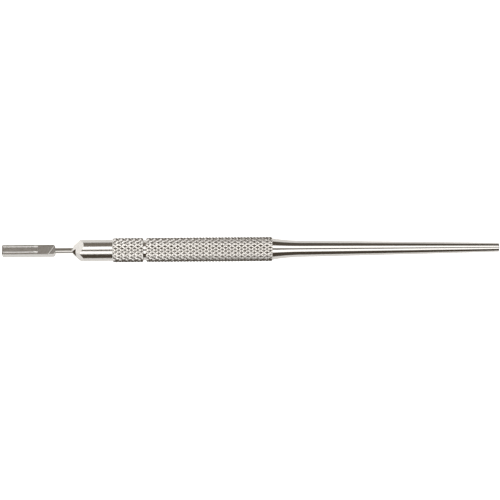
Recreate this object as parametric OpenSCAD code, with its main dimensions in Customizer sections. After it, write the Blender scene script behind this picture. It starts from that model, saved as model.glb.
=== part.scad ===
// Adjustable-angle blade handle. A flat fitting for slip-on blades stands on a ball joint,
// which a screw-down cap locks, at the front of a knurled grip with a long tapered tail.
//
// Frame: +X runs from the blade fitting to the tail and +Z is up. The handle lies on Z = 0
// and X = 0 is the middle of its length. Stations along X are counted from the front tip.

/* [Overall] */
// Length from the tip of the fitting to the end of the tail
total_l = 165; // [155:0.5:175]
// Diameter over the crests of the knurl
grip_d = 8.2; // [8:0.1:9]
// Length of the knurled grip
grip_l = 41.8; // [30:0.1:50]
// Chamfer at each end of the knurl
knurl_chamfer = 0.3; // [0.2:0.05:0.6]

/* [Blade fitting] */
// Length of the flat fitting
fitting_l = 17.75; // [17:0.05:20]
// Width of the flat fitting
fitting_w = 3.5; // [3.3:0.05:3.7]
// Thickness of the flat fitting
fitting_t = 2.6; // [2.4:0.05:2.8]
// Turn of the fitting about the handle's axis
fitting_roll = 24; // [0:1:45]
// Distance from the middle of the face to each long groove
groove_y = 0.98; // [0.9:0.02:1.1]
// Width of the long grooves
groove_cut_w = 0.45; // [0.3:0.05:0.5]
// Station where the long grooves start
groove_x = 0.4; // [0.3:0.1:1]
// Station where the grooves widen into pockets
pocket_x = 10.6; // [10:0.1:11]
// Length of the pockets
pocket_l = 1.4; // [1:0.1:1.8]
// Width of the pockets
pocket_w = 0.7; // [0.6:0.05:0.8]
// Angle of the sides of the grooves and pockets to the face
groove_slope = 30; // [25:1:35]
// Station where the slanted heel rest meets the front edge of the fitting
heel_x = 15.3; // [15:0.1:15.5]
// How far back the heel rest slants across the fitting
heel_slant = 2.3; // [1:0.1:2.4]
// Height of the heel rest over the face in front of it
heel_step = 0.2; // [0.1:0.05:0.3]
// Radius of the fitting's rear corners
fitting_corner = 0.8; // [0.5:0.1:1]

/* [Ball joint] */
// Diameter of the neck
neck_d = 2; // [1.8:0.1:2]
// Length of neck between the fitting and the nose
neck_l = 5.75; // [5:0.05:8]
// Distance from the handle's axis to each of the neck's four flats
neck_flat = 0.9; // [0.85:0.01:0.95]
// Diameter of the ball
ball_d = 4; // [3.8:0.1:4]
// Distance from the tip of the nose to the centre of the ball
ball_inset = 3.25; // [3:0.05:3.4]
// Direction of the swing slot, turned about the handle's axis
slot_roll = -118; // [-180:1:180]
// Gap between the neck and each wall of the slot
slot_gap = 0.1; // [0.05:0.05:0.15]

/* [Clamp cap] */
// Diameter of the plain front of the cap
cap_d = 7.2; // [7:0.1:7.4]
// Length of the cap
cap_l = 23.4; // [23:0.1:26]
// Length of the knurled collar at the back of the cap
collar_l = 10; // [8:0.1:12]
// Angle of the nose's flats to the handle's axis
flat_angle = 34; // [33:0.5:35]
// Distance from the handle's axis to each flat at the tip of the nose
flat_inset = 1.01; // [1:0.01:1.1]
// Direction of the small flat ground on the nose, turned about the handle's axis
relief_roll = 33; // [20:1:45]
// Distance from the handle's axis to the small flat
relief_inset = 1.12; // [1.12:0.01:1.2]
// Length of the small flat
relief_l = 1.1; // [0.8:0.05:1.3]
// Nominal diameter of the clamp thread
thread_d = 6; // [5.8:0.1:6]
// Distance from the centre of the ball to the start of the clamp thread
thread_inset = 7.5; // [7:0.1:8]
// Width of the groove between the collar and the grip
groove_w = 1; // [0.8:0.05:1.2]
// Gap between the collar and the shoulder in that groove
shoulder_gap = 0.1; // [0.05:0.05:0.2]

/* [Inside] */
// Gap between the front of the stud and the start of the cap's thread
stud_gap = 0.15; // [0.1:0.05:0.3]
// Length of the undercut between the stud's thread and its shoulder
undercut_l = 1.5; // [1:0.1:2]
// Distance from the centre of the ball to the front of the cup behind it
cup_inset = 1.2; // [1.15:0.05:1.4]
// Radial running clearance of pieces that slide or turn in one another
running = 0.05; // [0.03:0.01:0.08]
// Bore of the stud, which holds the spring
stud_bore_d = 3.2; // [3.1:0.1:3.3]
// Depth of that bore behind the front of the grip
stud_bore_l = 4; // [3:0.5:6]
// Length of the cup's stem, which guides the spring
stem_l = 5; // [4:0.5:6]
// Wire diameter of the spring
wire_d = 0.4; // [0.3:0.05:0.45]
// Gap round the coil and at its two ends
coil_gap = 0.1; // [0.05:0.05:0.15]
// Turns of the spring
spring_turns = 9; // [6:1:12]
// Diameter of the sockets in the grip's two ends
socket_d = 5; // [4.5:0.1:5.4]
// Depth of the sockets in the grip's two ends
socket_l = 11; // [8:0.5:12]

/* [Tail] */
// Diameter of the tail where it leaves the grip
tail_root_d = 7.2; // [6.8:0.1:7.4]
// Diameter of the tail where the long taper starts
taper_d = 5.46; // [5.2:0.02:5.8]
// Diameter at the end of the tail
tail_end_d = 3.06; // [2.8:0.02:3.4]
// Length of the hollow curve behind the grip
sweep_l = 9.9; // [8:0.1:14]
// Swell of the long taper halfway along it
swell = 0.06; // [0:0.01:0.1]
// Edge radius at the end of the tail
tail_edge = 0.3; // [0.2:0.05:0.5]

/* [Hidden] */
$fn = 96;
steel = [0.78, 0.77, 0.76];
knurled_steel = [0.62, 0.61, 0.60];
spring_steel = [0.50, 0.52, 0.56];

// stations along the handle
nose_x = fitting_l + neck_l;
ball_x = nose_x + ball_inset;
cap_end_x = nose_x + cap_l;
collar_x = cap_end_x - collar_l;
grip_x = cap_end_x + groove_w;
grip_end_x = grip_x + grip_l;
shoulder_x = cap_end_x + shoulder_gap;
thread_x = ball_x + thread_inset;
stud_x = thread_x + stud_gap;
stud_bore_end_x = grip_x + stud_bore_l;
undercut_x = cap_end_x - undercut_l;
long_l = total_l - tail_edge - grip_end_x - sweep_l;

// radii
grip_r = grip_d / 2;
neck_r = neck_d / 2;
ball_r = ball_d / 2;
cap_r = cap_d / 2;
thread_r = thread_d / 2;
socket_r = socket_d / 2;
undercut_r = socket_r + 0.2;
shoulder_r = 3.5;
spigot_r = 0.6;
spigot_l = 4;
tail_root_r = tail_root_d / 2;
taper_r = taper_d / 2;
tail_end_r = tail_end_d / 2;
sweep_steps = 10;
long_steps = 12;
sweep_drop = (taper_r - tail_end_r - 4 * swell) * sweep_l / long_l;
slot_w = neck_d + 2 * slot_gap;
face_z = fitting_t / 2 - heel_step;
flats_gap = 0.3;
flats_l = neck_l - flats_gap;
stem_r = stud_bore_d / 2 - wire_d - 2 * coil_gap;
coil_r = stem_r + coil_gap + wire_d / 2;
coil_l = stud_bore_end_x - stud_x - 2 * coil_gap - wire_d;

// the handle's own frame: origin on its axis at a station, +Z up
module at(x) translate([x - total_l / 2, 0, grip_r]) children();

// turns an outline of [radius, distance along +X] about the handle's axis
module lathe(x) at(x) rotate([0, 90, 0]) rotate_extrude() children();

module rod(x0, x1, r) at(x0) rotate([0, 90, 0]) cylinder(h = x1 - x0, r = r);

module chamfered_rod(x0, x1, r, c) lathe(x0)
    polygon([[0, 0], [r - c, 0], [r, c], [r, x1 - x0 - c], [r - c, x1 - x0], [0, x1 - x0]]);

// ---- blade fitting -------------------------------------------------------------------

// outline of the fitting seen from its flat side, with its two rear corners rounded
module fitting_outline() {
    c = fitting_corner;
    translate([0, -fitting_w / 2]) square([fitting_l - c, fitting_w]);
    translate([0, c - fitting_w / 2]) square([fitting_l, fitting_w - 2 * c]);
    for (side = [-1, 1])
        translate([fitting_l - c, side * (fitting_w / 2 - c)]) circle(r = c);
}

// the face in front of the slanted heel rest
module face_outline() polygon([[-1, -fitting_w], [heel_x - heel_slant / 2, -fitting_w],
                               [heel_x + heel_slant * 3 / 2, fitting_w], [-1, fitting_w]]);

// V-shaped bar that cuts a groove of width w into the face, from station x0 to x1
module groove(x0, x1, w) translate([x0, 0, face_z]) rotate([90, 0, 90]) linear_extrude(x1 - x0)
    polygon([[0, -w / 2 * tan(groove_slope)], [w, w / 2 * tan(groove_slope)],
             [-w, w / 2 * tan(groove_slope)]]);

module blade_tang() color(steel) at(0) rotate([-fitting_roll, 0, 0]) difference() {
    translate([0, 0, -fitting_t / 2]) linear_extrude(fitting_t) fitting_outline();
    translate([0, 0, face_z]) linear_extrude(fitting_t) face_outline();
    for (side = [-1, 1]) translate([0, side * groove_y, 0]) {
        groove(groove_x, pocket_x + pocket_l / 2, groove_cut_w);
        groove(pocket_x, pocket_x + pocket_l, pocket_w);
    }
    // the socket for the neck's spigot
    translate([fitting_l - spigot_l, 0, 0]) rotate([0, 90, 0])
        cylinder(h = spigot_l + 1, r = spigot_r);
}

// ---- ball joint ----------------------------------------------------------------------

module neck_rod() color(steel) {
    rod(fitting_l - spigot_l, fitting_l, spigot_r);
    difference() {
        rod(fitting_l, ball_x + ball_r / 2, neck_r);
        for (quarter = [0:3]) at(fitting_l) rotate([90 * quarter - fitting_roll, 0, 0])
            translate([-1, -neck_d, neck_flat]) cube([flats_l + 1, 2 * neck_d, neck_d]);
    }
}

module swivel_ball() color(steel) difference() {
    at(ball_x) sphere(r = ball_r);
    rod(ball_x - ball_d, ball_x + ball_r / 2 + running, neck_r + running);
}

// ---- clamp cap -----------------------------------------------------------------------

// the way the neck swings through: from the tip of the nose to a round end over the ball
module swing_slot() at(ball_x) rotate([slot_roll, 0, 0]) {
    cylinder(h = cap_d, r = slot_w / 2);
    translate([-ball_inset - 1, -slot_w / 2, 0]) cube([ball_inset + 1, slot_w, cap_d]);
}

// four planes that cut the nose to a square pyramid
module nose_flats() at(nose_x) for (quarter = [0:3])
    rotate([slot_roll + 90 * quarter, 0, 0]) translate([0, 0, flat_inset])
        rotate([0, -flat_angle, 0])
            translate([-cap_d, -cap_d, 0]) cube([3 * cap_d, 2 * cap_d, cap_d]);

// small flat beside the neck, where the nose is ground back
module nose_relief() at(nose_x) rotate([relief_roll, 0, 0])
    translate([-1, -cap_r, relief_inset]) cube([relief_l + 1, cap_d, cap_d]);

module clamp_cap() color(steel) difference() {
    union() {
        difference() {
            rod(nose_x, collar_x + 1, cap_r);
            nose_flats();
            nose_relief();
        }
        chamfered_rod(collar_x, cap_end_x, grip_r, knurl_chamfer);
    }
    rod(nose_x - 1, ball_x, slot_w / 2);
    swing_slot();
    at(ball_x) sphere(r = ball_r + running);
    rod(ball_x, thread_x + 1, ball_r + 2 * running);
    rod(thread_x, cap_end_x + 1, thread_r);
}

// ---- inside the cap ------------------------------------------------------------------

// cup on the back of the ball, with a stem that guides the spring
module thrust_cup() color(steel) difference() {
    union() {
        rod(ball_x + cup_inset, stud_x, ball_r + running);
        rod(stud_x, stud_x + stem_l, stem_r);
    }
    at(ball_x) sphere(r = ball_r + running);
}

// closed tube along a helix about +Z
module coil(mean_r, wire_r, length, turns, steps = 14, sides = 6) {
    rings = turns * steps;
    points = [for (i = [0:rings], j = [0:sides - 1])
        let (a = 360 * i / steps, b = 360 * j / sides, r = mean_r + wire_r * cos(b))
        [r * cos(a), r * sin(a), length * i / rings + wire_r * sin(b)]];
    walls = [for (i = [0:rings - 1], j = [0:sides - 1])
        let (k = (j + 1) % sides)
        [i * sides + j, i * sides + k, (i + 1) * sides + k, (i + 1) * sides + j]];
    ends = [[for (j = [sides - 1:-1:0]) j], [for (j = [0:sides - 1]) rings * sides + j]];
    polyhedron(points, concat(walls, ends), convexity = 10);
}

module thrust_spring() color(spring_steel) at(stud_x + coil_gap + wire_d / 2)
    rotate([0, 90, 0]) coil(coil_r, wire_d / 2, coil_l, spring_turns);

// hollow stud: the thread that draws the cap back, an undercut, a shoulder and a spigot
module clamp_stud() color(steel) difference() {
    union() {
        rod(stud_x, undercut_x, thread_r - running);
        rod(undercut_x, shoulder_x, undercut_r);
        rod(shoulder_x, grip_x, shoulder_r);
        rod(grip_x, grip_x + socket_l, socket_r);
    }
    rod(stud_x - 1, stud_bore_end_x, stud_bore_d / 2);
}

// ---- grip and tail -------------------------------------------------------------------

module grip_barrel() color(knurled_steel) difference() {
    chamfered_rod(grip_x, grip_end_x, grip_r, knurl_chamfer);
    rod(grip_x - 1, grip_x + socket_l, socket_r);
    rod(grip_end_x - socket_l, grip_end_x + 1, socket_r);
}

// radius of the tail at a share u of its long taper, and at a share u of the hollow curve
// before it, which runs into the taper without a corner
function long_radius(u) = taper_r + (tail_end_r - taper_r) * u + 4 * swell * u * (1 - u);
function sweep_radius(u) = taper_r + sweep_drop * (1 - u)
    + (tail_root_r - taper_r - sweep_drop) * pow(1 - u, 2);

module tail_taper() color(steel) {
    rod(grip_end_x - socket_l, grip_end_x, socket_r);
    lathe(grip_end_x) polygon(concat(
        [[0, 0]],
        [for (i = [0:sweep_steps]) let (u = i / sweep_steps) [sweep_radius(u), sweep_l * u]],
        [for (i = [1:long_steps]) let (u = i / long_steps)
            [long_radius(u), sweep_l + long_l * u]],
        [for (a = [15:15:90]) [tail_end_r - tail_edge * (1 - cos(a)),
                               sweep_l + long_l + tail_edge * sin(a)]],
        [[0, total_l - grip_end_x]]));
}

blade_tang();
neck_rod();
swivel_ball();
clamp_cap();
thrust_cup();
thrust_spring();
clamp_stud();
grip_barrel();
tail_taper();
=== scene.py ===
"""Looks of an adjustable-angle blade handle: a flat blade fitting on a ball joint, a clamp cap
with a four-sided nose and a knurled collar, a knurled grip and a long tapered tail.

Stations are millimetres behind the front tip, radii and widths are millimetres too, and the
handle's axis runs along +X.
"""
import math

import bpy
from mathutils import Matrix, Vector


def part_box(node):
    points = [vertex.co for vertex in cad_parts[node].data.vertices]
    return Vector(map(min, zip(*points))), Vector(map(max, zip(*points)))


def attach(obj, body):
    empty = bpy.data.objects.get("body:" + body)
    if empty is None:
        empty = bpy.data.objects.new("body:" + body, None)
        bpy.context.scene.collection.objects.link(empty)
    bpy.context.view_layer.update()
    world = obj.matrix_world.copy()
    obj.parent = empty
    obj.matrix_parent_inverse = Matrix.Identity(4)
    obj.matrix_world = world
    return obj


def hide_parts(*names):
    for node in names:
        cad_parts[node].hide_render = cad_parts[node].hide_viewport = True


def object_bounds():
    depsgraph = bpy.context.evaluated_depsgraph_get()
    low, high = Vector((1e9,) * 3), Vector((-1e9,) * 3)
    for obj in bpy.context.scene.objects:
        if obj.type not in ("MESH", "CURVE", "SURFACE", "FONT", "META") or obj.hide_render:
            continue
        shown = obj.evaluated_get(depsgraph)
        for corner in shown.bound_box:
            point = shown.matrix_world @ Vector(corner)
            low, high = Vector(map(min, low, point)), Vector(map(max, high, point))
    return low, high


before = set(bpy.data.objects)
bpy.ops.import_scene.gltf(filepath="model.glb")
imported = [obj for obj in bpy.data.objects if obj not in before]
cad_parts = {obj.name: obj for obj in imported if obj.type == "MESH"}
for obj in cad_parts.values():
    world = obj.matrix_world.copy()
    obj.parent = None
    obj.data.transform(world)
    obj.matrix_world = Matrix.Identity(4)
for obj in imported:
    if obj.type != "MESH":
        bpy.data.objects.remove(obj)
CAD_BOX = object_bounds()

MM = 0.001
MERGE = 1e-6        # metres: points closer than this are one point
CRACK = 2e-6        # metres: the cracks that cuts leave are closed up to this width
LOW, HIGH = CAD_BOX
TIP = LOW.x
AXIS_Z = (LOW.z + HIGH.z) / 2


def box_stations(node):
    """Front and back of a CAD node, as stations."""
    low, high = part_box(node)
    return (low.x - TIP) / MM, (high.x - TIP) / MM


# stations that the frame gives
FITTING_END = box_stations("blade_tang")[1]
SPIGOT_START, NECK_END = box_stations("neck_rod")
CAP_FRONT, CAP_END = box_stations("clamp_cap")
STUD_START, STUD_END = box_stations("clamp_stud")
GRIP_START, GRIP_END = box_stations("grip_barrel")
TAIL_START, TAIL_END = box_stations("tail_taper")

# ball joint
NECK_R = 1.0
SPIGOT_R = 0.6
BALL_R = 2.0
BALL_AT = box_stations("swivel_ball")[1] - BALL_R
RUNNING = 0.05      # clearance round what turns or slides
SWING_ROLL = math.radians(-118)

# clamp cap
CAP_R = 3.6
COLLAR_START = CAP_END - 10
THREAD_START = BALL_AT + 7.5
THREAD_R = 3.0
NECK_HOLE_R = NECK_R + 0.1
NOSE_RIDGE_R = 0.18
FLAT_ANGLE = math.radians(34)
FLAT_INSET = 1.01
NOSE_FRONT = CAP_FRONT

# the small flat that is ground on the nose, beside the neck
RELIEF_ROLL = math.radians(33)
RELIEF_INSET = 1.12
RELIEF_END = NOSE_FRONT + 1.1

# stud
STUD_BORE_R = 1.6
STUD_BORE_END = GRIP_START + 4
THREAD_LEAD_IN = 0.2
THREAD_LEAD_R = 2.75
UNDERCUT_START = CAP_END - 1.5
UNDERCUT_R = 2.7
SHOULDER_START = CAP_END + 0.1
SHOULDER_R = 3.5
SHOULDER_EDGE = 0.15
SOCKET_R = 2.5      # sockets in the two ends of the grip, for the stud and the tail

# tail
TAIL_ROOT_R = 3.6
TAIL_ROOT_EDGE = 0.05
WAIST_R = 2.73
TAIL_TIP_R = 1.53
TAIL_EDGE = 0.3
SWELL = 0.06
SWEEP_L = 9.9
SWEEP_STEPS, TAPER_STEPS = 24, 32

# knurl
CREST_R = 4.1
ROOT_R = 3.66
PYRAMID_H = 0.57
KNURL_STARTS = 18
KNURL_PITCH = 2.107
KNURL_CHAMFER = 0.3

# fitting
FITTING_ROLL = math.radians(-24)
FITTING_W = 3.5
FITTING_T = 2.6
REAR_CORNER_R, TIP_CORNER_R = 0.8, 0.3
FITTING_EDGE = 0.12
HEEL_START, HEEL_SLANT, HEEL_STEP, HEEL_LEAN = 15.3, 2.3, 0.2, 1.7
FACE_Z = FITTING_T / 2 - HEEL_STEP
GROOVE_Y, GROOVE_W, GROOVE_START = 0.98, 0.45, 0.4
POCKET_START, POCKET_END, POCKET_W = 10.6, 12.0, 0.7
GROOVE_SLOPE = math.radians(30)
NECK_FLAT = 0.9
NECK_FLATS_END = NOSE_FRONT - 0.3
NECK_EDGE = 0.05

# the staged table lies this far under the handle, so that the fitting swings clear of it
TABLE_DROP = 12


# ---- modelling helpers ---------------------------------------------------------------

def on_axis(station):
    return Vector((TIP + station * MM, 0, AXIS_Z))


def start_mesh(add, **options):
    """Adds a primitive with nothing else selected and opens it for editing."""
    bpy.ops.object.select_all(action="DESELECT")
    add(**options)
    bpy.ops.object.mode_set(mode="EDIT")
    return bpy.context.object


def close_mesh(piece, name):
    """Merges doubles, points the faces outwards and puts the piece's place in its mesh."""
    bpy.ops.mesh.select_all(action="SELECT")
    bpy.ops.mesh.remove_doubles(threshold=MERGE)
    bpy.ops.mesh.normals_make_consistent(inside=False)
    bpy.ops.object.mode_set(mode="OBJECT")
    bpy.ops.object.transform_apply(location=True, rotation=True, scale=True)
    piece.name = piece.data.name = name
    return piece


def only(piece):
    bpy.ops.object.select_all(action="DESELECT")
    piece.select_set(True)
    bpy.context.view_layer.objects.active = piece


def apply_modifier(piece, kind, **settings):
    only(piece)
    modifier = piece.modifiers.new(kind.title(), kind)
    for key, value in settings.items():
        setattr(modifier, key, value)
    bpy.ops.object.modifier_apply(modifier=modifier.name)


def carve(piece, tool, operation="DIFFERENCE"):
    """Cuts the tool out of the piece, or joins or keeps what both share, and drops the tool."""
    apply_modifier(piece, "BOOLEAN", operation=operation, object=tool, solver="EXACT")
    bpy.data.objects.remove(tool)
    return piece


def soften(piece, width, segments=2, angle=30):
    """Breaks the sharp edges, as polishing does."""
    apply_modifier(piece, "BEVEL", width=width * MM, segments=segments, limit_method="ANGLE",
                   angle_limit=math.radians(angle), use_clamp_overlap=True)


def mend(piece):
    """Closes the hairline cracks that the cuts leave."""
    only(piece)
    bpy.ops.object.mode_set(mode="EDIT")
    bpy.ops.mesh.select_all(action="SELECT")
    bpy.ops.mesh.remove_doubles(threshold=CRACK)
    bpy.ops.mesh.dissolve_degenerate(threshold=CRACK)
    bpy.ops.object.mode_set(mode="OBJECT")


def shade(piece, flat_faces=False):
    """Mends the piece and shades it smooth. Large flat faces can stay flat up to their edge."""
    mend(piece)
    only(piece)
    bpy.ops.object.shade_smooth_by_angle(angle=math.radians(30))
    if flat_faces:
        apply_modifier(piece, "WEIGHTED_NORMAL", keep_sharp=True, weight=100)


def turned(name, outline, sides=128):
    """A piece turned on the handle's axis. A disc grows through the (station, radius) points of
    its outline by extrude and resize."""
    x0, r0 = outline[0]
    piece = start_mesh(bpy.ops.mesh.primitive_circle_add, vertices=sides, radius=r0 * MM,
                       fill_type="NGON", location=on_axis(x0), rotation=(0, math.pi / 2, 0))
    bpy.ops.mesh.select_mode(type="FACE")
    bpy.ops.mesh.select_all(action="SELECT")
    for x1, r1 in outline[1:]:
        bpy.ops.mesh.extrude_region_move(
            TRANSFORM_OT_translate={"value": ((x1 - x0) * MM, 0, 0), "orient_type": "GLOBAL"})
        bpy.ops.transform.resize(value=(1, r1 / r0, r1 / r0), orient_type="GLOBAL",
                                 center_override=on_axis(x1))
        x0, r0 = x1, r1
    return close_mesh(piece, name)


def arc(station, radius, size, first, last, steps=6):
    """Outline points on an arc about (station, radius), from angle first to last in degrees.
    Angle 0 points along +X and 90 points away from the axis."""
    angles = [math.radians(first + (last - first) * i / steps) for i in range(steps + 1)]
    return [(station + size * math.cos(a), radius + size * math.sin(a)) for a in angles]


def block(name, x_range, y_range, z_range):
    """A box in the handle's own frame, its Y and Z counted from the axis."""
    sizes = [(high - low) * MM for low, high in (x_range, y_range, z_range)]
    middle = [(high + low) / 2 * MM for low, high in (x_range, y_range, z_range)]
    piece = start_mesh(bpy.ops.mesh.primitive_cube_add, size=1, scale=sizes,
                       location=(TIP + middle[0], middle[1], middle[2]))
    return close_mesh(piece, name)


def roll(piece, angle):
    """Turns a piece made about the world's X axis and lifts it onto the handle's axis."""
    only(piece)
    piece.rotation_euler = (angle, 0, 0)
    piece.location = (0, 0, AXIS_Z)
    bpy.ops.object.transform_apply(location=True, rotation=True, scale=True)
    return piece


def place(piece, body, slot, material, *nodes):
    """Gives a finished piece its material and its body, and hides the CAD nodes that it stands
    for.
    """
    piece.data.materials.clear()
    piece.data.materials.append(material)
    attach(piece, body)
    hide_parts(*nodes)
    return piece


# ---- materials -----------------------------------------------------------------------

def new_material(name):
    material = bpy.data.materials.new(name)
    material.use_nodes = True
    nodes, links = material.node_tree.nodes, material.node_tree.links
    shader = nodes["Principled BSDF"]
    return material, nodes, links, shader


def object_pattern(nodes, links, kind, stretch, **inputs):
    """A texture on Object coordinates, stretched by a Mapping node."""
    place_node = nodes.new("ShaderNodeTexCoord")
    mapping = nodes.new("ShaderNodeMapping")
    mapping.inputs["Scale"].default_value = stretch
    texture = nodes.new(kind)
    for key, value in inputs.items():
        texture.inputs[key].default_value = value
    links.new(place_node.outputs["Object"], mapping.inputs["Vector"])
    links.new(mapping.outputs["Vector"], texture.inputs["Vector"])
    return texture


def spread(nodes, links, source, low, high):
    """Maps a texture's 0 to 1 to the range low to high."""
    mapped = nodes.new("ShaderNodeMapRange")
    mapped.inputs["To Min"].default_value = low
    mapped.inputs["To Max"].default_value = high
    links.new(source, mapped.inputs["Value"])
    return mapped.outputs["Result"]


def steel(name, colour, rough, lines, line_depth):
    """Stainless steel: roughness that wanders with handling, and fine tool lines as bump."""
    material, nodes, links, shader = new_material(name)
    shader.inputs["Base Color"].default_value = (*colour, 1)
    shader.inputs["Metallic"].default_value = 1
    haze = object_pattern(nodes, links, "ShaderNodeTexNoise", SMUDGE, Scale=1, Detail=4)
    links.new(spread(nodes, links, haze.outputs["Fac"], rough[0], rough[1]),
              shader.inputs["Roughness"])
    marks = object_pattern(nodes, links, "ShaderNodeTexNoise", lines, Scale=1, Detail=3)
    bump = nodes.new("ShaderNodeBump")
    bump.inputs["Strength"].default_value = 1
    bump.inputs["Distance"].default_value = line_depth * MM
    links.new(marks.outputs["Fac"], bump.inputs["Height"])
    links.new(bump.outputs["Normal"], shader.inputs["Normal"])
    return material


def paint_knurl_light(material, crest_shade, cut):
    """Colours a knurl by its height: painted shade on the crests and a painted highlight in the
    cuts, brighter than plain steel, for how the knurl reflects the room and the softboxes.
    """
    nodes, links = material.node_tree.nodes, material.node_tree.links
    place_node = nodes.new("ShaderNodeTexCoord")
    across = nodes.new("ShaderNodeVectorMath")
    across.operation = "MULTIPLY_ADD"
    across.inputs[1].default_value = (0, 1, 1)
    across.inputs[2].default_value = (0, 0, -AXIS_Z)
    radius = nodes.new("ShaderNodeVectorMath")
    radius.operation = "LENGTH"
    ramp = nodes.new("ShaderNodeMapRange")
    ramp.inputs["From Min"].default_value = (CREST_R - 0.30) * MM
    ramp.inputs["From Max"].default_value = (CREST_R - 0.12) * MM
    mix = nodes.new("ShaderNodeMix")
    mix.data_type = "RGBA"
    mix.inputs["A"].default_value = (*cut, 1)
    mix.inputs["B"].default_value = (*crest_shade, 1)
    links.new(place_node.outputs["Object"], across.inputs[0])
    links.new(across.outputs["Vector"], radius.inputs[0])
    links.new(radius.outputs["Value"], ramp.inputs["Value"])
    links.new(ramp.outputs["Result"], mix.inputs["Factor"])
    links.new(mix.outputs["Result"], nodes["Principled BSDF"].inputs["Base Color"])
    return material


def floor_material():
    """White table top. It looks brighter to the camera than it does in the steel."""
    material, nodes, links, shader = new_material("table_white")
    shader.inputs["Base Color"].default_value = (0.92, 0.92, 0.92, 1)
    shader.inputs["Roughness"].default_value = 0.9
    shader.inputs["Emission Color"].default_value = (1, 1, 1, 1)
    path = nodes.new("ShaderNodeLightPath")
    links.new(spread(nodes, links, path.outputs["Is Camera Ray"], 0.28, 1),
              shader.inputs["Emission Strength"])
    return material


SMUDGE = (300, 900, 900)      # stretch of the pattern that handling leaves
STEEL = (0.66, 0.645, 0.62)
POLISHED = steel("polished_steel", STEEL, (0.05, 0.10), (9000, 60, 60), 0.0004)
FACETED = steel("nose_steel", STEEL, (0.12, 0.20), (700, 2500, 2500), 0.0006)
# the knurl's crests get painted shade and its cuts a painted highlight
KNURLED = paint_knurl_light(steel("knurled_steel", STEEL, (0.17, 0.25), (2500, 2500, 2500), 0.001),
                  crest_shade=(0.30, 0.285, 0.265), cut=(0.96, 0.945, 0.92))
MILLED = steel("milled_steel", (0.63, 0.62, 0.60), (0.18, 0.28), (250, 9000, 9000), 0.002)
DRAWN = steel("spring_wire", (0.42, 0.43, 0.46), (0.25, 0.35), (2000, 2000, 2000), 0.001)


# ---- pieces --------------------------------------------------------------------------

def make_fitting():
    """The flat fitting: two long grooves that end in pockets, and a slanted heel rest."""
    half_w, top = FITTING_W / 2, FITTING_T / 2
    piece = block("blade_fitting", (0, FITTING_END), (-half_w, half_w), (-top, top))
    round_corners(piece)
    carve(piece, heel_cutter())
    soften(piece, FITTING_EDGE, segments=3)
    for side in (-1, 1):
        carve(piece, groove_cutter(GROOVE_START, POCKET_START + 0.1, side * GROOVE_Y,
                                   GROOVE_W))
        carve(piece, groove_cutter(POCKET_START, POCKET_END, side * GROOVE_Y, POCKET_W))
    shade(piece, flat_faces=True)
    return roll(piece, FITTING_ROLL)


def round_corners(piece):
    """Rounds the fitting's upright corners in plan: large at the neck, small at the tip."""
    only(piece)
    bpy.ops.object.mode_set(mode="EDIT")
    for at_back, radius in ((True, REAR_CORNER_R), (False, TIP_CORNER_R)):
        bpy.ops.mesh.select_mode(type="EDGE")
        bpy.ops.mesh.select_all(action="DESELECT")
        bpy.ops.object.mode_set(mode="OBJECT")
        middle = TIP + FITTING_END / 2 * MM
        points = piece.data.vertices
        for edge in piece.data.edges:
            a, b = (points[i].co for i in edge.vertices)
            upright = abs(a.z - b.z) > 1 * MM and (a - b).length - abs(a.z - b.z) < MERGE
            edge.select = upright and (a.x > middle) == at_back
        bpy.ops.object.mode_set(mode="EDIT")
        bpy.ops.mesh.bevel(offset=radius * MM, segments=6, affect="EDGES")
    bpy.ops.object.mode_set(mode="OBJECT")


def groove_cutter(start, end, y, width):
    """A V-shaped bar whose sides meet at the bottom of the groove that it cuts."""
    depth = width / 2 * math.tan(GROOVE_SLOPE)
    cutter = block("groove_cutter", (start, end), (y - width, y + width),
                   (FACE_Z - depth, FACE_Z + depth))
    only(cutter)
    bpy.ops.object.mode_set(mode="EDIT")
    bpy.ops.mesh.select_mode(type="FACE")
    bpy.ops.mesh.select_all(action="DESELECT")
    bpy.ops.object.mode_set(mode="OBJECT")
    for face in cutter.data.polygons:
        face.select = face.normal.z < -0.9
    bpy.ops.object.mode_set(mode="EDIT")
    bpy.ops.transform.resize(value=(1, 0, 1), orient_type="GLOBAL",
                             center_override=(TIP, y * MM, 0))
    return close_mesh(cutter, "groove_cutter")


def heel_cutter():
    """The cutter in front of the heel rest: a block whose back is slanted and leans."""
    out = 2.5
    cutter = block("heel_cutter", (-1, FITTING_END + 1), (-out, out), (FACE_Z, out))
    only(cutter)
    bpy.ops.object.mode_set(mode="EDIT")
    bpy.ops.mesh.select_all(action="SELECT")
    run = HEEL_SLANT / FITTING_W
    bpy.ops.mesh.bisect(plane_co=(TIP + (HEEL_START + HEEL_SLANT / 2) * MM, 0, FACE_Z * MM),
                        plane_no=Vector((1, -run, -HEEL_LEAN)).normalized(), use_fill=True,
                        clear_outer=True, threshold=MERGE)
    return close_mesh(cutter, "heel_cutter")


def make_neck():
    """Neck between the fitting and the ball, with four flats in the open and a spigot."""
    outline = [(SPIGOT_START, SPIGOT_R), (FITTING_END, SPIGOT_R), (FITTING_END, NECK_R),
               (NECK_END, NECK_R)]
    piece = turned("neck", outline, sides=64)
    for quarter in range(4):
        flat = block("flat_cutter", (FITTING_END, NECK_FLATS_END), (-2, 2), (NECK_FLAT, 2))
        carve(piece, roll(flat, FITTING_ROLL + quarter * math.pi / 2))
    soften(piece, NECK_EDGE, segments=2, angle=20)
    shade(piece, flat_faces=True)
    return piece


def make_ball():
    """Ball with the blind bore that the neck turns in."""
    bore = NECK_R + RUNNING
    mouth = math.degrees(math.asin(bore / BALL_R))
    bore_front = BALL_AT - BALL_R * 0.7
    outline = [(NECK_END + RUNNING, bore), (bore_front, bore)]
    outline += arc(BALL_AT, 0, BALL_R, 180 - mouth, 1.5, steps=32)
    piece = turned("ball", outline, sides=64)
    shade(piece)
    return piece


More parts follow.
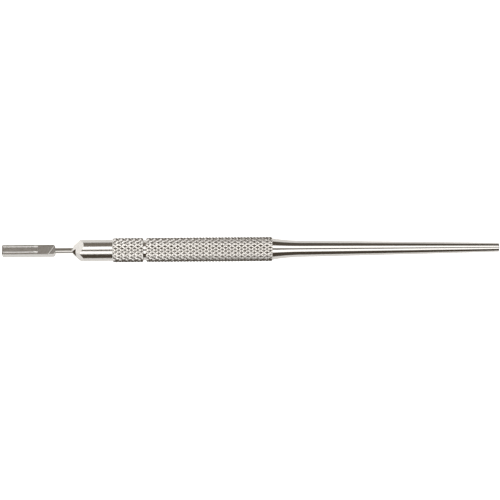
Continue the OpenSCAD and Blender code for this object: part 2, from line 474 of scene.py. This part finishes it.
def knurled_bar(name, start, end):
    """A bar with a diamond knurl. One pyramid is copied round and along the bar, and a bar with
    chamfered ends then cuts the pyramids' tips down to the crest."""
    turn = 2 * math.pi / KNURL_STARTS
    rows = math.ceil((end - start) / KNURL_PITCH) + 2
    first = start - KNURL_PITCH
    side_y = ROOT_R * math.sin(turn / 2)
    drop = ROOT_R * (1 - math.cos(turn / 2))
    piece = start_mesh(bpy.ops.mesh.primitive_circle_add, vertices=4, radius=1 * MM,
                       fill_type="NGON", location=(0, 0, ROOT_R * MM))
    bpy.ops.transform.resize(value=(KNURL_PITCH / 2, side_y, 1), orient_type="GLOBAL")
    lower_sides(piece, drop)
    bpy.ops.mesh.poke(offset=PYRAMID_H * MM)
    close_mesh(piece, name)
    ring_of(piece, turn)
    stagger(piece, turn / 2, KNURL_PITCH / 2)
    apply_modifier(piece, "ARRAY", count=rows, use_relative_offset=False,
                   use_constant_offset=True, constant_offset_displace=(KNURL_PITCH * MM, 0, 0),
                   use_merge_vertices=True, merge_threshold=MERGE * 5)
    only(piece)
    piece.location = (TIP + first * MM, 0, AXIS_Z)
    bpy.ops.object.transform_apply(location=True, rotation=True, scale=True)
    bpy.ops.object.mode_set(mode="EDIT")
    bpy.ops.mesh.select_all(action="DESELECT")
    bpy.ops.mesh.select_mode(type="EDGE")
    bpy.ops.mesh.select_non_manifold()
    bpy.ops.mesh.edge_face_add()
    close_mesh(piece, name)
    bar = turned("bar", [(start, CREST_R - KNURL_CHAMFER), (start + KNURL_CHAMFER, CREST_R),
                         (end - KNURL_CHAMFER, CREST_R), (end, CREST_R - KNURL_CHAMFER)], 144)
    return carve(piece, bar, "INTERSECT")


def lower_sides(piece, drop):
    """Lowers a diamond's two side corners onto the round of the bar."""
    bpy.ops.mesh.select_mode(type="VERT")
    bpy.ops.mesh.select_all(action="DESELECT")
    bpy.ops.object.mode_set(mode="OBJECT")
    place_in_world = piece.matrix_world
    for vertex in piece.data.vertices:
        vertex.select = abs((place_in_world @ vertex.co).y) > 0.1 * MM
    bpy.ops.object.mode_set(mode="EDIT")
    bpy.ops.transform.translate(value=(0, 0, -drop * MM), orient_type="GLOBAL")
    bpy.ops.mesh.select_all(action="SELECT")


def ring_of(piece, turn):
    """Copies a diamond right round the bar."""
    bpy.ops.object.empty_add(rotation=(turn, 0, 0))
    hub = bpy.context.object
    apply_modifier(piece, "ARRAY", count=KNURL_STARTS, use_relative_offset=False,
                   use_object_offset=True, offset_object=hub, use_merge_vertices=True,
                   use_merge_vertices_cap=True, merge_threshold=MERGE * 5)
    bpy.data.objects.remove(hub)


def stagger(piece, turn, shift):
    """Adds the second ring of diamonds, which fills the gaps in the first."""
    only(piece)
    bpy.ops.object.duplicate()
    second = bpy.context.object
    second.rotation_euler = (turn, 0, 0)
    second.location = (shift * MM, 0, 0)
    bpy.ops.object.transform_apply(location=True, rotation=True, scale=True)
    piece.select_set(True)
    bpy.context.view_layer.objects.active = piece
    bpy.ops.object.join()
    bpy.ops.object.mode_set(mode="EDIT")
    bpy.ops.mesh.select_all(action="SELECT")
    bpy.ops.mesh.remove_doubles(threshold=MERGE * 5)
    bpy.ops.object.mode_set(mode="OBJECT")


def make_grip():
    """The grip: a knurled bar with a socket in each end, for the stud and for the tail."""
    piece = knurled_bar("knurled_grip", GRIP_START, GRIP_END)
    carve(piece, turned("front_socket", [(GRIP_START - 1, SOCKET_R), (STUD_END, SOCKET_R)]))
    carve(piece, turned("back_socket", [(TAIL_START, SOCKET_R), (GRIP_END + 1, SOCKET_R)]))
    shade(piece)
    return piece


def make_nose():
    """The cap's plain front: a turned bar, cut to four flats, with softened ridges."""
    nose = turned("clamp_cap_nose", [(NOSE_FRONT, CAP_R), (COLLAR_START + 1, CAP_R)])
    only(nose)
    bpy.ops.object.mode_set(mode="EDIT")
    for quarter in range(4):
        turn = SWING_ROLL + quarter * math.pi / 2
        outwards = Vector((0, -math.sin(turn), math.cos(turn)))
        normal = outwards * math.cos(FLAT_ANGLE) - Vector((math.sin(FLAT_ANGLE), 0, 0))
        bpy.ops.mesh.select_all(action="SELECT")
        bpy.ops.mesh.bisect(plane_co=on_axis(NOSE_FRONT) + outwards * FLAT_INSET * MM,
                            plane_no=normal, use_fill=True, clear_outer=True, threshold=MERGE)
    close_mesh(nose, "clamp_cap_nose")
    soften(nose, NOSE_RIDGE_R, segments=4, angle=25)
    relief = block("relief", (NOSE_FRONT - 1, RELIEF_END), (-CAP_R, CAP_R),
                   (RELIEF_INSET, CAP_R))
    return carve(nose, roll(relief, RELIEF_ROLL))


def make_cap():
    """Nose and knurled collar in one, bored for the neck, the ball and the clamp thread."""
    piece = carve(make_nose(), knurled_bar("collar", COLLAR_START, CAP_END), "UNION")
    piece.name = piece.data.name = "clamp_cap_turned"
    seat, bore = BALL_R + RUNNING, BALL_R + 2 * RUNNING
    mouth = math.degrees(math.asin(NECK_HOLE_R / seat))
    outline = [(NOSE_FRONT - 1, NECK_HOLE_R)] + arc(BALL_AT, 0, seat, 180 - mouth, 90, steps=16)
    outline += [(BALL_AT, bore), (THREAD_START, bore), (THREAD_START, THREAD_R),
                (CAP_END + 1, THREAD_R)]
    carve(piece, turned("cap_bore", outline))
    carve(piece, swing_cutter(NECK_HOLE_R))
    shade(piece, flat_faces=True)
    return piece


def swing_cutter(half):
    """The cutter of the swing slot: a bar with a round end over the ball."""
    slot = block("slot_cutter", (NOSE_FRONT - 1, BALL_AT), (-half, half), (0, CAP_R + 1))
    end = start_mesh(bpy.ops.mesh.primitive_cylinder_add, vertices=48, radius=half * MM,
                     depth=(CAP_R + 1) * MM,
                     location=(TIP + BALL_AT * MM, 0, (CAP_R + 1) / 2 * MM))
    carve(slot, close_mesh(end, "slot_end"), "UNION")
    return roll(slot, SWING_ROLL)


def make_stud():
    """The hollow stud: thread, relief, the polished shoulder in the groove, and a spigot."""
    thread_r = THREAD_R - RUNNING
    outline = [(STUD_BORE_END, STUD_BORE_R), (STUD_START, STUD_BORE_R),
               (STUD_START, THREAD_LEAD_R), (STUD_START + THREAD_LEAD_IN, thread_r),
               (UNDERCUT_START, thread_r), (UNDERCUT_START + THREAD_LEAD_IN, UNDERCUT_R),
               (SHOULDER_START, UNDERCUT_R), (SHOULDER_START, SHOULDER_R - SHOULDER_EDGE)]
    outline += arc(SHOULDER_START + SHOULDER_EDGE, SHOULDER_R - SHOULDER_EDGE, SHOULDER_EDGE,
                   180, 90)
    outline += [(GRIP_START, SHOULDER_R), (GRIP_START, SOCKET_R), (STUD_END, SOCKET_R)]
    piece = turned("clamp_stud_turned", outline)
    shade(piece)
    return piece


def make_tail():
    """The tail: a hollow sweep behind the grip and a long, slightly swelling taper."""
    taper_l = TAIL_END - TAIL_EDGE - GRIP_END - SWEEP_L
    drop = (WAIST_R - TAIL_TIP_R - 4 * SWELL) * SWEEP_L / taper_l
    outline = [(TAIL_START, SOCKET_R), (GRIP_END, SOCKET_R),
               (GRIP_END, TAIL_ROOT_R - TAIL_ROOT_EDGE)]
    for i in range(SWEEP_STEPS + 1):
        share = i / SWEEP_STEPS
        rest = 1 - share
        radius = WAIST_R + drop * rest + (TAIL_ROOT_R - WAIST_R - drop) * rest ** 2
        station = GRIP_END + TAIL_ROOT_EDGE + (SWEEP_L - TAIL_ROOT_EDGE) * share
        outline.append((station, radius))
    for i in range(1, TAPER_STEPS + 1):
        share = i / TAPER_STEPS
        radius = WAIST_R + (TAIL_TIP_R - WAIST_R) * share + 4 * SWELL * share * (1 - share)
        outline.append((GRIP_END + SWEEP_L + taper_l * share, radius))
    outline += arc(TAIL_END - TAIL_EDGE, TAIL_TIP_R - TAIL_EDGE, TAIL_EDGE, 75, 0)
    piece = turned("tapered_tail", outline)
    shade(piece)
    return piece


# ---- stage ---------------------------------------------------------------------------

def add_card(name, direction, distance, size, strength):
    """A soft white light card that faces the middle of the handle."""
    bpy.ops.object.select_all(action="DESELECT")
    middle = Vector((0, 0, AXIS_Z))
    bpy.ops.object.light_add(type="AREA", location=middle + direction.normalized() * distance)
    card = bpy.context.object
    card.name = name
    card.rotation_mode = "QUATERNION"
    card.rotation_quaternion = direction.to_track_quat("Z", "Y")
    card.data.shape = "RECTANGLE"
    card.data.size, card.data.size_y = size
    card.data.energy = strength * math.pi * size[0] * size[1]
    return card


def tilted(angle):
    """Direction across the handle, so many degrees from straight up towards +Y."""
    return Vector((0, math.sin(math.radians(angle)), math.cos(math.radians(angle))))


def add_stage():
    bpy.ops.object.select_all(action="DESELECT")
    bpy.ops.mesh.primitive_plane_add(size=3, location=(0, 0, -TABLE_DROP * MM))
    table = bpy.context.object
    table.name = "table"
    table.data.materials.append(floor_material())
    distance = 0.9
    near, far = 8.8, 39.5
    width = 2 * distance * math.tan(math.radians((far - near) / 2))
    for name, side in (("softbox_back", 1), ("softbox_front", -1)):
        add_card(name, tilted(side * (near + far) / 2), distance, (1.4, width), 1.6)
    add_card("front_card", Vector((-1, 0.2, 0.15)), 0.7, (1.2, 0.5), 1.0)
    add_room()


def add_room():
    """The room round the table: dim and warm in the steel, lighter towards +Y and -X, and a
    pale backdrop to the camera."""
    world = bpy.data.worlds.new("studio")
    bpy.context.scene.world = world
    world.use_nodes = True
    nodes, links = world.node_tree.nodes, world.node_tree.links
    direction = nodes.new("ShaderNodeTexCoord")
    parts = nodes.new("ShaderNodeSeparateXYZ")
    side = nodes.new("ShaderNodeMapRange")
    side.inputs["From Min"].default_value = -0.4
    side.inputs["From Max"].default_value = 0.4
    along = nodes.new("ShaderNodeMapRange")
    along.inputs["From Min"].default_value = 0.01
    along.inputs["From Max"].default_value = -0.08
    along.inputs["To Min"].default_value = 0.15
    lit = nodes.new("ShaderNodeMath")
    lit.operation = "MULTIPLY"
    walls = nodes.new("ShaderNodeMix")
    walls.data_type = "RGBA"
    walls.inputs["A"].default_value = (0.088, 0.072, 0.055, 1)
    walls.inputs["B"].default_value = (0.27, 0.24, 0.21, 1)
    path = nodes.new("ShaderNodeLightPath")
    seen = nodes.new("ShaderNodeMix")
    seen.data_type = "RGBA"
    seen.inputs["B"].default_value = (0.9, 0.9, 0.9, 1)
    links.new(direction.outputs["Generated"], parts.inputs["Vector"])
    links.new(parts.outputs["Y"], side.inputs["Value"])
    links.new(parts.outputs["X"], along.inputs["Value"])
    links.new(side.outputs["Result"], lit.inputs[0])
    links.new(along.outputs["Result"], lit.inputs[1])
    links.new(lit.outputs["Value"], walls.inputs["Factor"])
    links.new(walls.outputs["Result"], seen.inputs["A"])
    links.new(path.outputs["Is Camera Ray"], seen.inputs["Factor"])
    links.new(seen.outputs["Result"], nodes["Background"].inputs["Color"])


def add_camera():
    """Camera straight above the handle, turned a little so that the tail rises to the right."""
    view_width, distance, turn = 0.166, 0.6, math.radians(-0.447)
    aim_x, aim_y = -0.0002, -0.00027
    data = bpy.data.cameras.new("camera")
    data.sensor_width = 36
    data.lens = data.sensor_width * distance / view_width
    data.clip_start, data.clip_end = 0.01, 10
    camera = bpy.data.objects.new("camera", data)
    bpy.context.scene.collection.objects.link(camera)
    camera.location = (aim_x, aim_y, AXIS_Z + distance)
    camera.rotation_euler = (0, 0, turn)
    bpy.context.scene.camera = camera


# ---- the object ----------------------------------------------------------------------

add_camera()
place(make_fitting(), "blade_holder", "satin_steel", MILLED, "blade_tang")
place(make_neck(), "blade_holder", "polished_steel", POLISHED, "neck_rod")
place(make_ball(), "ball", "polished_steel", POLISHED, "swivel_ball")
cap = place(make_cap(), "cap", "polished_steel", FACETED, "clamp_cap")
cap.data.materials.append(KNURLED)
for face in cap.data.polygons:
    face.material_index = int(face.center.x > on_axis(COLLAR_START).x - MERGE)
place(make_stud(), "handle", "polished_steel", POLISHED, "clamp_stud")
place(make_grip(), "handle", "knurled_steel", KNURLED, "grip_barrel")
place(make_tail(), "handle", "polished_steel", POLISHED, "tail_taper")
for node_name, material in (("thrust_cup", MILLED), ("thrust_spring", DRAWN)):
    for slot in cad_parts[node_name].material_slots:
        slot.material = material
add_stage()
bpy.context.scene.view_settings.view_transform = "Standard"
